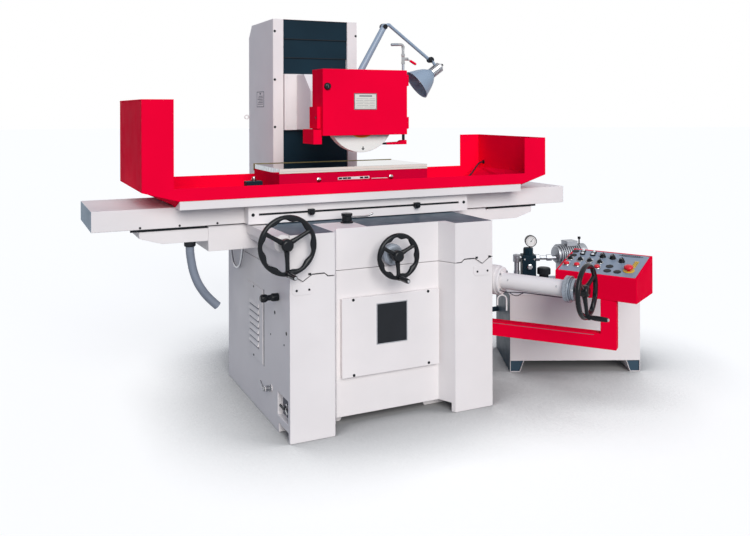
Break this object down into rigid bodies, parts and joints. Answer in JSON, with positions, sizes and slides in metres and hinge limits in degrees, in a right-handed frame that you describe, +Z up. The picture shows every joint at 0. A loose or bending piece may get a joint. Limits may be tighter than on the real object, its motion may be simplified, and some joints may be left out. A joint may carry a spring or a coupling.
{
  "type": "column surface grinder",
  "caption": "Hydraulic column surface grinder with a magnetic chuck, swung control pendant and a separate oil tank.",
  "frame": {"origin": "on the floor, under the middle of the machine's bounding box without its hose and cable", "axes": "+X to the operator's right along the table's travel, +Y from the operator to the column, +Z up"},
  "size_m": [2.9232, 1.8861, 1.894],
  "materials": {
    "white_paint": "warm white machine enamel, satin",
    "red_paint": "bright red machine enamel, gloss",
    "slate_paint": "dark slate enamel, satin",
    "black_plastic": "black phenolic, polished",
    "bright_steel": "bright machined and plated steel",
    "ground_steel": "surface-ground steel with fine lines",
    "abrasive": null,
    "grey_hose": "grey ribbed drain hose",
    "lamp_grey": "blue-grey enamel, satin",
    "panel_blue": "blue-grey panel enamel, satin"
  },
  "bodies": {
    "root": {"base_casting": "white_paint", "front_cover_plate": "white_paint", "side_louvre_cover": "white_paint", "column_casting": "white_paint", "way_cover_top": "slate_paint", "elevating_tube": "white_paint", "panel_arm": "red_paint", "control_box": "red_paint", "control_panel": "panel_blue", "hydraulic_tank": "white_paint", "pump_motor": "bright_steel", "valve_block": "slate_paint"},
    "saddle": {"saddle_casting": "white_paint", "table_cylinder": "bright_steel", "drain_hose": "grey_hose"},
    "table": {"table_casting": "white_paint", "dog_rail": "white_paint", "splash_guard": "red_paint", "chuck_body": "red_paint", "chuck_top_plate": "ground_steel", "chuck_cable": "black_plastic"},
    "wheelhead": {"wheelhead_casting": "white_paint", "way_cover_lower": "slate_paint", "spindle_motor": "slate_paint", "guard_housing": "red_paint", "coolant_pipe": "bright_steel"},
    "wheel_spindle": {"spindle": "ground_steel", "grinding_wheel": "abrasive"},
    "guard_door": {"guard_door": "red_paint"},
    "door_latch": {"door_latch": "black_plastic"},
    "coolant_lever": {"coolant_lever": "red_paint"},
    "lamp_lower_arm": {"lamp_lower_arm": "lamp_grey"},
    "lamp_upper_arm": {"lamp_upper_arm": "lamp_grey"},
    "lamp_head": {"lamp_head": "lamp_grey"},
    "way_cover_middle": {"way_cover_middle": "slate_paint"},
    "elevating_screw": {"elevating_screw": "ground_steel"},
    "elevating_handwheel": {"elevating_handwheel": "black_plastic"},
    "elevating_handwheel_grip": {"elevating_handwheel_grip": "black_plastic"},
    "elevating_dial": {"elevating_dial": "bright_steel"},
    "table_handwheel": {"table_handwheel": "black_plastic"},
    "table_handwheel_grip": {"table_handwheel_grip": "black_plastic"},
    "cross_drive": {"cross_handwheel": "black_plastic", "cross_feed_screw": "ground_steel"},
    "cross_handwheel_grip": {"cross_handwheel_grip": "black_plastic"},
    "reversing_lever": {"reversing_lever": "black_plastic"},
    "trip_dog_left": {"trip_dog_left": "black_plastic"},
    "trip_dog_right": {"trip_dog_right": "black_plastic"},
    "lubricator_knob": {"lubricator_knob": "black_plastic"},
    "drain_cock_lever": {"drain_cock_lever": "bright_steel"},
    "emergency_stop": {"emergency_stop": "red_paint"},
    "push_button_1": {"push_button_1": "red_paint"},
    "speed_knob_1": {"speed_knob_1": "black_plastic"},
    "push_button_2": {"push_button_2": "red_paint"},
    "speed_knob_2": {"speed_knob_2": "black_plastic"},
    "push_button_3": {"push_button_3": "red_paint"},
    "speed_knob_3": {"speed_knob_3": "black_plastic"},
    "selector_switch_1": {"selector_switch_1": "black_plastic"},
    "selector_switch_2": {"selector_switch_2": "black_plastic"},
    "selector_switch_3": {"selector_switch_3": "black_plastic"},
    "selector_switch_4": {"selector_switch_4": "black_plastic"}
  },
  "joints": [
    {"name": "saddle_slide", "type": "slide", "parent": "root", "child": "saddle", "axis": [0, 1, 0], "range_m": [-0.44, 0.015]},
    {"name": "table_slide", "type": "slide", "parent": "saddle", "child": "table", "axis": [1, 0, 0], "range_m": [-0.45, 0.45]},
    {"name": "head_slide", "type": "slide", "parent": "root", "child": "wheelhead", "axis": [0, 0, 1], "range_m": [-0.07, 0.155]},
    {"name": "way_cover_slide", "type": "slide", "parent": "root", "child": "way_cover_middle", "axis": [0, 0, 1], "range_m": [-0.032, 0.07]},
    {"name": "elevating_screw_turn", "type": "hinge", "parent": "root", "child": "elevating_screw", "pos_m": [-0.0497, 0.5511, 1.2], "axis": [0, 0, 1], "continuous": true},
    {"name": "elevating_handwheel_turn", "type": "hinge", "parent": "root", "child": "elevating_handwheel", "pos_m": [0.5683, -0.85301, 0.579], "axis": [0.5, -0.866, 0], "continuous": true},
    {"name": "elevating_dial_turn", "type": "hinge", "parent": "root", "child": "elevating_dial", "pos_m": [0.5323, -0.79065, 0.579], "axis": [0.5, -0.866, 0], "continuous": true},
    {"name": "elevating_grip_spin", "type": "hinge", "parent": "elevating_handwheel", "child": "elevating_handwheel_grip", "pos_m": [0.5918, -0.89371, 0.464], "axis": [0.5, -0.866, 0], "continuous": true},
    {"name": "table_handwheel_turn", "type": "hinge", "parent": "saddle", "child": "table_handwheel", "pos_m": [-0.7477, -0.5769, 0.842], "axis": [0, 1, 0], "continuous": true},
    {"name": "table_grip_spin", "type": "hinge", "parent": "table_handwheel", "child": "table_handwheel_grip", "pos_m": [-0.7477, -0.6189, 0.727], "axis": [0, 1, 0], "continuous": true},
    {"name": "cross_handwheel_turn", "type": "hinge", "parent": "saddle", "child": "cross_drive", "pos_m": [-0.2087, -0.5189, 0.744], "axis": [0, 1, 0], "continuous": true},
    {"name": "cross_grip_spin", "type": "hinge", "parent": "cross_drive", "child": "cross_handwheel_grip", "pos_m": [-0.2087, -0.5689, 0.651], "axis": [0, 1, 0], "continuous": true},
    {"name": "reversing_lever_swing", "type": "hinge", "parent": "saddle", "child": "reversing_lever", "pos_m": [-0.3567, -0.2839, 0.873], "axis": [0, 0, 1], "range_deg": [-30, 30]},
    {"name": "trip_dog_left_slide", "type": "slide", "parent": "table", "child": "trip_dog_left", "axis": [1, 0, 0], "range_m": [-0.22, 0.22]},
    {"name": "trip_dog_right_slide", "type": "slide", "parent": "table", "child": "trip_dog_right", "axis": [1, 0, 0], "range_m": [-0.22, 0.22]},
    {"name": "spindle_spin", "type": "hinge", "parent": "wheelhead", "child": "wheel_spindle", "pos_m": [-0.2147, -0.1189, 1.367], "axis": [0, 1, 0], "continuous": true},
    {"name": "guard_door_swing", "type": "hinge", "parent": "wheelhead", "child": "guard_door", "pos_m": [0.0238, -0.1669, 1.43], "axis": [0, 0, 1], "range_deg": [0, 100]},
    {"name": "door_latch_turn", "type": "hinge", "parent": "guard_door", "child": "door_latch", "pos_m": [-0.4097, -0.1789, 1.508], "axis": [0, 1, 0], "range_deg": [0, 90]},
    {"name": "coolant_lever_turn", "type": "hinge", "parent": "wheelhead", "child": "coolant_lever", "pos_m": [0.0538, -0.1069, 1.652], "axis": [1, 0, 0], "range_deg": [0, 90]},
    {"name": "lamp_swivel", "type": "hinge", "parent": "wheelhead", "child": "lamp_lower_arm", "pos_m": [-0.1747, 0.0811, 1.5], "axis": [0, 0, 1], "range_deg": [-35, 35]},
    {"name": "lamp_elbow_turn", "type": "hinge", "parent": "lamp_lower_arm", "child": "lamp_upper_arm", "pos_m": [0.0173, 0.0811, 1.832], "axis": [0, 1, 0], "range_deg": [-30, 15]},
    {"name": "lamp_head_tilt", "type": "hinge", "parent": "lamp_upper_arm", "child": "lamp_head", "pos_m": [0.2973, 0.0811, 1.665], "axis": [0, 1, 0], "range_deg": [-35, 35]},
    {"name": "lubricator_knob_pull", "type": "slide", "parent": "root", "child": "lubricator_knob", "axis": [-1, 0, 0], "range_m": [0, 0.02]},
    {"name": "drain_cock_turn", "type": "hinge", "parent": "root", "child": "drain_cock_lever", "pos_m": [-0.7505, -0.2689, 0.16], "axis": [1, 0, 0], "range_deg": [0, 90]},
    {"name": "push_button_1_press", "type": "slide", "parent": "root", "child": "push_button_1", "axis": [0.2146, 0.1239, -0.9688], "range_m": [0, 0.003]},
    {"name": "push_button_2_press", "type": "slide", "parent": "root", "child": "push_button_2", "axis": [0.2146, 0.1239, -0.9688], "range_m": [0, 0.003]},
    {"name": "push_button_3_press", "type": "slide", "parent": "root", "child": "push_button_3", "axis": [0.2146, 0.1239, -0.9688], "range_m": [0, 0.003]},
    {"name": "selector_switch_1_turn", "type": "hinge", "parent": "root", "child": "selector_switch_1", "pos_m": [0.74774, -0.52033, 0.65403], "axis": [-0.2146, -0.1239, 0.9688], "range_deg": [-45, 45]},
    {"name": "selector_switch_2_turn", "type": "hinge", "parent": "root", "child": "selector_switch_2", "pos_m": [0.77201, -0.56637, 0.65352], "axis": [-0.2146, -0.1239, 0.9688], "range_deg": [-45, 45]},
    {"name": "selector_switch_3_turn", "type": "hinge", "parent": "root", "child": "selector_switch_3", "pos_m": [0.79341, -0.60944, 0.65276], "axis": [-0.2146, -0.1239, 0.9688], "range_deg": [-45, 45]},
    {"name": "selector_switch_4_turn", "type": "hinge", "parent": "root", "child": "selector_switch_4", "pos_m": [0.81632, -0.65511, 0.65199], "axis": [-0.2146, -0.1239, 0.9688], "range_deg": [-45, 45]},
    {"name": "speed_knob_1_turn", "type": "hinge", "parent": "root", "child": "speed_knob_1", "pos_m": [0.87047, -0.61691, 0.66887], "axis": [-0.2146, -0.1239, 0.9688], "range_deg": [-150, 150]},
    {"name": "speed_knob_2_turn", "type": "hinge", "parent": "root", "child": "speed_knob_2", "pos_m": [0.89078, -0.66408, 0.66733], "axis": [-0.2146, -0.1239, 0.9688], "range_deg": [-150, 150]},
    {"name": "speed_knob_3_turn", "type": "hinge", "parent": "root", "child": "speed_knob_3", "pos_m": [0.89426, -0.72211, 0.66068], "axis": [-0.2146, -0.1239, 0.9688], "range_deg": [-150, 150]},
    {"name": "emergency_stop_press", "type": "slide", "parent": "root", "child": "emergency_stop", "axis": [0.2146, 0.1239, -0.9688], "range_m": [0, 0.004]}
  ],
  "couplings": [
    {"joint": "way_cover_slide", "follows": "head_slide", "ratio": 0.45},
    {"joint": "elevating_screw_turn", "follows": "head_slide", "rad_per_m": 314.16},
    {"joint": "elevating_handwheel_turn", "follows": "head_slide", "rad_per_m": 314.16},
    {"joint": "table_handwheel_turn", "follows": "table_slide", "rad_per_m": 78.54},
    {"joint": "cross_handwheel_turn", "follows": "saddle_slide", "rad_per_m": 314.16}
  ]
}
